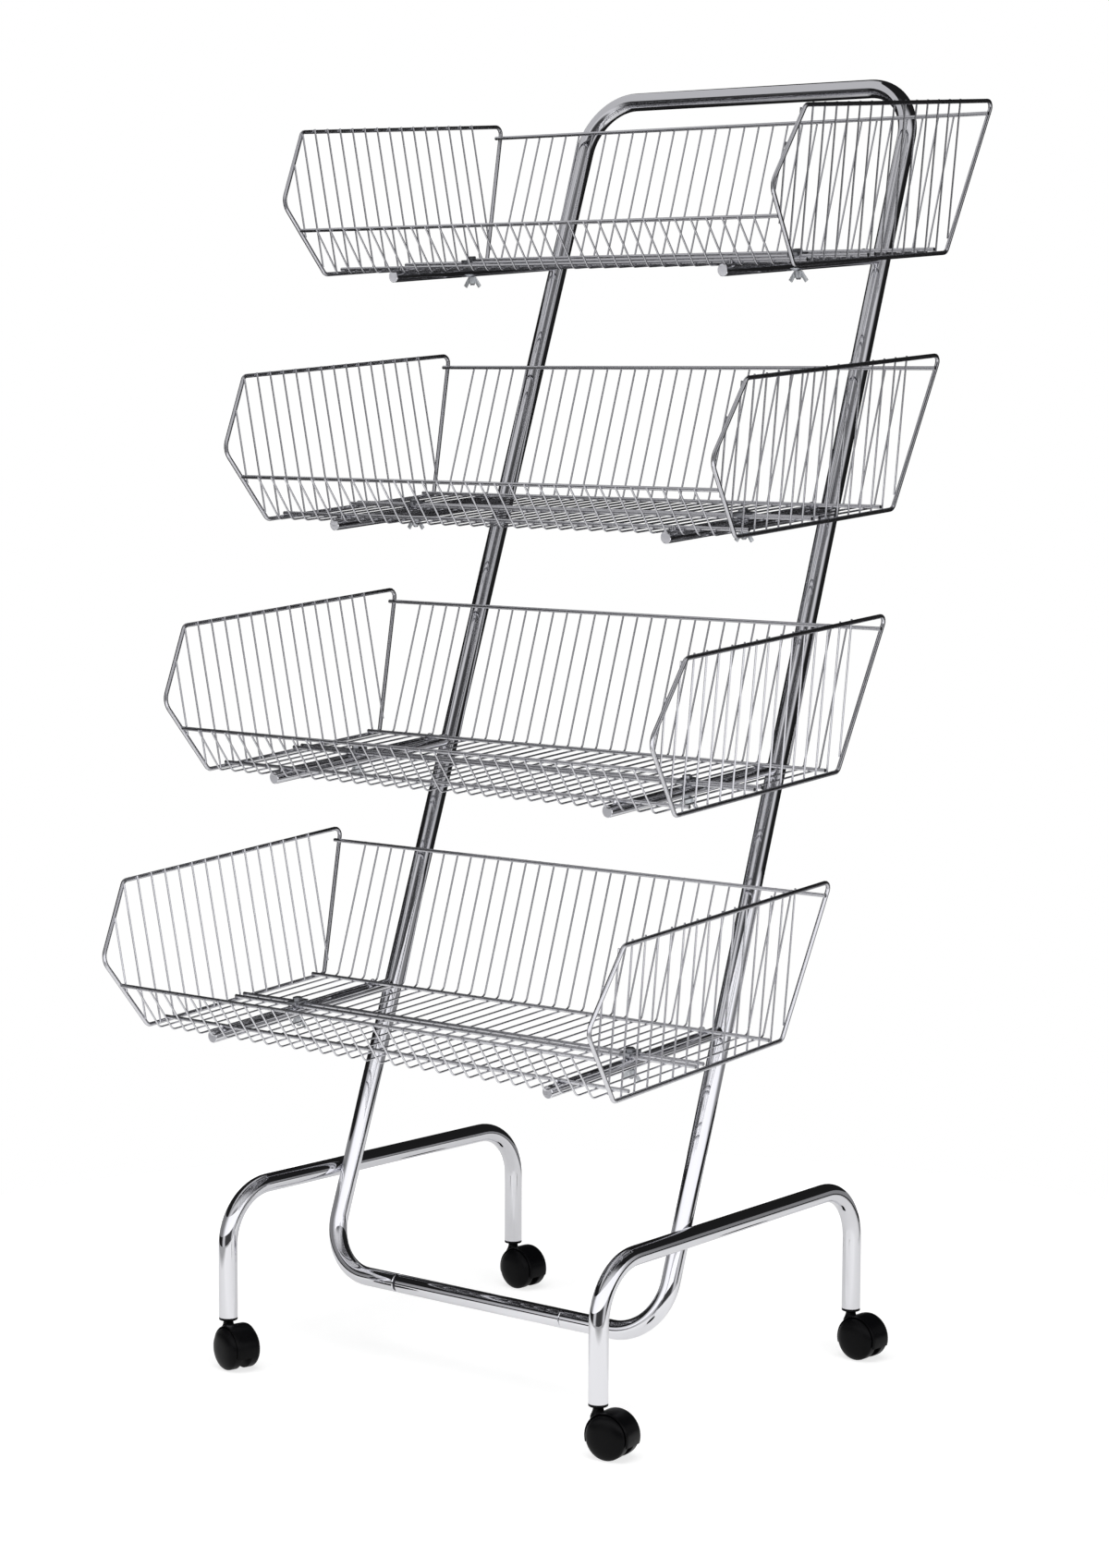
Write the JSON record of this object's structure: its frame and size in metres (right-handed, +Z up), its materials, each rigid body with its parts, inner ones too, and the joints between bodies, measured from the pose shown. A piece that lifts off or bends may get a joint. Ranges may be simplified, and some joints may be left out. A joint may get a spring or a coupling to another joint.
{
  "type": "wire basket display stand",
  "caption": "Wheeled shop display stand: a leaning loop of chromed tube on arched legs carries open-fronted wire baskets, held on arms by wing nuts.",
  "frame": {"origin": "on the floor, at the middle of the stand's width and depth", "axes": "+X to the right of someone who faces the baskets, -Y towards that person, +Z up"},
  "size_m": [0.7424, 0.7723, 1.515],
  "materials": {
    "chrome": "polished",
    "zinc": "bright zinc plate",
    "black_plastic": "satin"
  },
  "bodies": {
    "stand": {"frame_loop": "chrome", "bottom_cross_tube": "chrome", "cross_tube_sleeves": "chrome", "left_leg": "chrome", "right_leg": "chrome", "tier1_arms": "chrome", "tier1_basket_side_frames": "chrome", "tier1_basket_rails": "chrome", "tier1_basket_cross_wires": "chrome", "tier1_basket_side_wires": "chrome", "tier2_arms": "chrome", "tier2_basket_side_frames": "chrome", "tier2_basket_rails": "chrome", "tier2_basket_cross_wires": "chrome", "tier2_basket_side_wires": "chrome", "tier3_arms": "chrome", "tier3_basket_side_frames": "chrome", "tier3_basket_rails": "chrome", "tier3_basket_cross_wires": "chrome", "tier3_basket_side_wires": "chrome", "tier4_arms": "chrome", "tier4_basket_side_frames": "chrome", "tier4_basket_rails": "chrome", "tier4_basket_cross_wires": "chrome", "tier4_basket_side_wires": "chrome", "locating_studs": "chrome", "clamp_saddles": "zinc", "clamp_bolts": "zinc", "caster_sockets": "black_plastic", "caster_stems": "zinc"},
    "front_left_caster": {"front_left_caster_housing": "black_plastic", "front_left_caster_axle": "zinc"},
    "front_left_inner_wheel": {"front_left_inner_wheel": "black_plastic"},
    "front_left_outer_wheel": {"front_left_outer_wheel": "black_plastic"},
    "front_right_caster": {"front_right_caster_housing": "black_plastic", "front_right_caster_axle": "zinc"},
    "front_right_inner_wheel": {"front_right_inner_wheel": "black_plastic"},
    "front_right_outer_wheel": {"front_right_outer_wheel": "black_plastic"},
    "rear_left_caster": {"rear_left_caster_housing": "black_plastic", "rear_left_caster_axle": "zinc"},
    "rear_left_inner_wheel": {"rear_left_inner_wheel": "black_plastic"},
    "rear_left_outer_wheel": {"rear_left_outer_wheel": "black_plastic"},
    "rear_right_caster": {"rear_right_caster_housing": "black_plastic", "rear_right_caster_axle": "zinc"},
    "rear_right_inner_wheel": {"rear_right_inner_wheel": "black_plastic"},
    "rear_right_outer_wheel": {"rear_right_outer_wheel": "black_plastic"},
    "tier1_left_wing_nut": {"tier1_left_wing_nut": "zinc"},
    "tier1_right_wing_nut": {"tier1_right_wing_nut": "zinc"},
    "tier2_left_wing_nut": {"tier2_left_wing_nut": "zinc"},
    "tier2_right_wing_nut": {"tier2_right_wing_nut": "zinc"},
    "tier3_left_wing_nut": {"tier3_left_wing_nut": "zinc"},
    "tier3_right_wing_nut": {"tier3_right_wing_nut": "zinc"},
    "tier4_left_wing_nut": {"tier4_left_wing_nut": "zinc"},
    "tier4_right_wing_nut": {"tier4_right_wing_nut": "zinc"}
  },
  "joints": [
    {"name": "front_left_swivel", "type": "hinge", "parent": "stand", "child": "front_left_caster", "pos_m": [-0.27804, -0.26489, 0.058], "axis": [0, 0, 1], "continuous": true},
    {"name": "front_left_inner_spin", "type": "hinge", "parent": "front_left_caster", "child": "front_left_inner_wheel", "pos_m": [-0.26057, -0.26925, 0.025], "axis": [0.2419, 0.9703, 0], "continuous": true},
    {"name": "front_left_outer_spin", "type": "hinge", "parent": "front_left_caster", "child": "front_left_outer_wheel", "pos_m": [-0.26057, -0.26925, 0.025], "axis": [0.2419, 0.9703, 0], "continuous": true},
    {"name": "front_right_swivel", "type": "hinge", "parent": "stand", "child": "front_right_caster", "pos_m": [0.27804, -0.26489, 0.058], "axis": [0, 0, 1], "continuous": true},
    {"name": "front_right_inner_spin", "type": "hinge", "parent": "front_right_caster", "child": "front_right_inner_wheel", "pos_m": [0.2959, -0.2627, 0.025], "axis": [-0.1219, 0.9925, 0], "continuous": true},
    {"name": "front_right_outer_spin", "type": "hinge", "parent": "front_right_caster", "child": "front_right_outer_wheel", "pos_m": [0.2959, -0.2627, 0.025], "axis": [-0.1219, 0.9925, 0], "continuous": true},
    {"name": "rear_left_swivel", "type": "hinge", "parent": "stand", "child": "rear_left_caster", "pos_m": [-0.26211, 0.24186, 0.058], "axis": [0, 0, 1], "continuous": true},
    {"name": "rear_left_inner_spin", "type": "hinge", "parent": "rear_left_caster", "child": "rear_left_inner_wheel", "pos_m": [-0.24415, 0.2406, 0.025], "axis": [0.0698, 0.9976, 0], "continuous": true},
    {"name": "rear_left_outer_spin", "type": "hinge", "parent": "rear_left_caster", "child": "rear_left_outer_wheel", "pos_m": [-0.24415, 0.2406, 0.025], "axis": [0.0698, 0.9976, 0], "continuous": true},
    {"name": "rear_right_swivel", "type": "hinge", "parent": "stand", "child": "rear_right_caster", "pos_m": [0.26211, 0.24186, 0.058], "axis": [0, 0, 1], "continuous": true},
    {"name": "rear_right_inner_spin", "type": "hinge", "parent": "rear_right_caster", "child": "rear_right_inner_wheel", "pos_m": [0.28009, 0.24091, 0.025], "axis": [0.0523, 0.9986, 0], "continuous": true},
    {"name": "rear_right_outer_spin", "type": "hinge", "parent": "rear_right_caster", "child": "rear_right_outer_wheel", "pos_m": [0.28009, 0.24091, 0.025], "axis": [0.0523, 0.9986, 0], "continuous": true},
    {"name": "tier1_left_wing_nut_turn", "type": "hinge", "parent": "stand", "child": "tier1_left_wing_nut", "pos_m": [-0.24878, -0.17342, 0.40726], "axis": [0, -0.0727, 0.9974], "continuous": true},
    {"name": "tier1_right_wing_nut_turn", "type": "hinge", "parent": "stand", "child": "tier1_right_wing_nut", "pos_m": [0.24878, -0.17342, 0.40726], "axis": [0, -0.0727, 0.9974], "continuous": true},
    {"name": "tier2_left_wing_nut_turn", "type": "hinge", "parent": "stand", "child": "tier2_left_wing_nut", "pos_m": [-0.24684, -0.07068, 0.69899], "axis": [0, -0.0727, 0.9974], "continuous": true},
    {"name": "tier2_right_wing_nut_turn", "type": "hinge", "parent": "stand", "child": "tier2_right_wing_nut", "pos_m": [0.24684, -0.07068, 0.69899], "axis": [0, -0.0727, 0.9974], "continuous": true},
    {"name": "tier3_left_wing_nut_turn", "type": "hinge", "parent": "stand", "child": "tier3_left_wing_nut", "pos_m": [-0.24489, 0.03206, 0.99072], "axis": [0, -0.0727, 0.9974], "continuous": true},
    {"name": "tier3_right_wing_nut_turn", "type": "hinge", "parent": "stand", "child": "tier3_right_wing_nut", "pos_m": [0.24489, 0.03206, 0.99072], "axis": [0, -0.0727, 0.9974], "continuous": true},
    {"name": "tier4_left_wing_nut_turn", "type": "hinge", "parent": "stand", "child": "tier4_left_wing_nut", "pos_m": [-0.24295, 0.13479, 1.28246], "axis": [0, -0.0727, 0.9974], "continuous": true},
    {"name": "tier4_right_wing_nut_turn", "type": "hinge", "parent": "stand", "child": "tier4_right_wing_nut", "pos_m": [0.24295, 0.13479, 1.28246], "axis": [0, -0.0727, 0.9974], "continuous": true}
  ]
}
